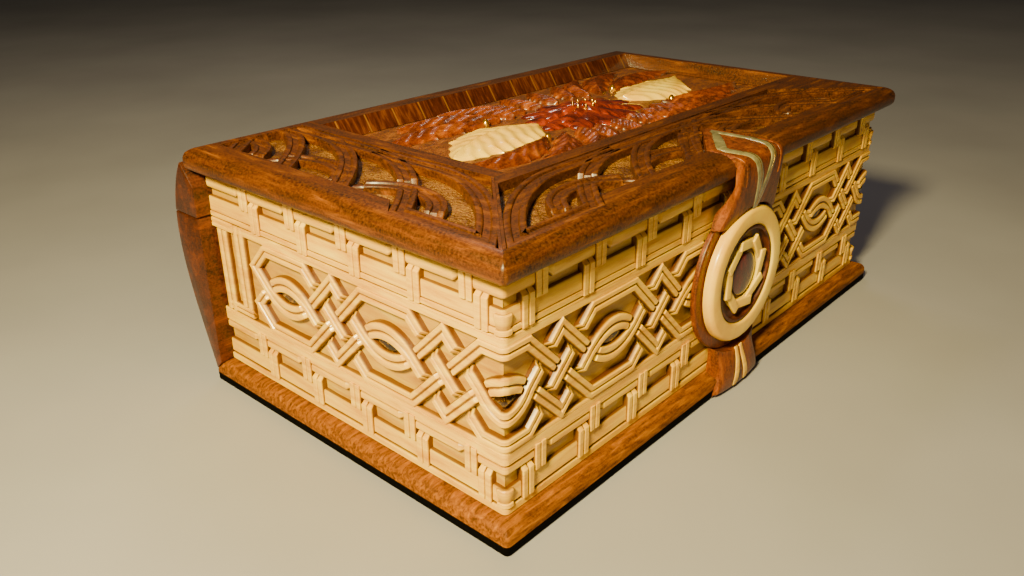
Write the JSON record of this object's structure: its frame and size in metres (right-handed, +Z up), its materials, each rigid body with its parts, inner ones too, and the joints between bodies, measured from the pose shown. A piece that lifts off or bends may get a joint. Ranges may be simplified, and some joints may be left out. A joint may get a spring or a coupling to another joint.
{
  "type": "book box",
  "caption": "Keepsake box shaped like a closed book, with a hinged lid, carved basket-weave and knot pages, a recessed cover panel and a turning round clasp.",
  "frame": {"origin": "on the underside of the bottom board, at the middle of its length and depth", "axes": "+Z up, -Y towards the fore edge with the clasp, +Y towards the spine, -X towards the head end, +X towards the tail end"},
  "size_m": [0.24, 0.1583, 0.0864],
  "materials": {
    "walnut": "warm orange-brown walnut under a clear gloss lacquer",
    "dark_walnut": "dark walnut under a clear gloss lacquer",
    "maple": "cream maple, oiled satin, with ochre in the hollows",
    "ivory": "pale close-grained wood, polished",
    "red_wood": "dark red-brown wood, high gloss",
    "amber": "dark amber resin, polished",
    "resin": "grey-green resin with gold flecks",
    "brass": "satin brass",
    "felt": "dark red felt"
  },
  "bodies": {
    "base": {"bottom_board": "walnut", "base_spine": "walnut", "base_head_wall": "maple", "base_tail_wall": "maple", "base_fore_edge_wall": "maple", "base_back_wall": "maple", "gem_head_end_1": "amber", "gem_head_end_2": "amber", "gem_head_fore_1": "amber", "gem_tail_end_1": "amber", "gem_tail_end_2": "amber", "gem_tail_fore_1": "amber", "floor_felt": "felt", "clasp_plate": "walnut", "clasp_washer": "brass", "lower_strap": "walnut", "strap_stripe_1": "maple", "strap_stripe_2": "maple", "hinge_base_leaf_head": "brass", "hinge_base_leaf_tail": "brass", "hinge_pin_head": "brass", "hinge_pin_tail": "brass", "base_screw_head_1": "brass", "base_screw_head_2": "brass", "base_screw_tail_1": "brass", "base_screw_tail_2": "brass"},
    "lid": {"head_border": "walnut", "fore_edge_border": "walnut", "spine_rim": "walnut", "tail_rim": "walnut", "cover_panel": "dark_walnut", "panel_boss": "red_wood", "panel_leaf_head": "ivory", "panel_leaf_tail": "ivory", "lid_spine": "walnut", "lid_head_wall": "maple", "lid_tail_wall": "maple", "lid_fore_edge_wall": "maple", "lid_back_wall": "maple", "upper_strap": "walnut", "strap_loop": "resin", "latch_hasp": "brass", "hasp_stud": "brass", "hasp_screw_1": "brass", "hasp_screw_2": "brass", "hinge_lid_leaf_head": "brass", "hinge_lid_leaf_tail": "brass", "lid_screw_head_1": "brass", "lid_screw_head_2": "brass", "lid_screw_tail_1": "brass", "lid_screw_tail_2": "brass"},
    "clasp": {"clasp_ring": "ivory", "clasp_dish": "walnut", "clasp_knot": "ivory", "clasp_hub": "red_wood", "clasp_spindle": "brass", "latch_hook": "brass", "clasp_nut": "brass"}
  },
  "joints": [
    {"name": "lid_hinge", "type": "hinge", "parent": "base", "child": "lid", "pos_m": [0, 0.082, 0.0625], "axis": [-1, 0, 0], "range_deg": [0, 105]},
    {"name": "clasp_turn", "type": "hinge", "parent": "base", "child": "clasp", "pos_m": [0, -0.0688, 0.0427], "axis": [0, 1, 0], "range_deg": [0, 90]}
  ]
}
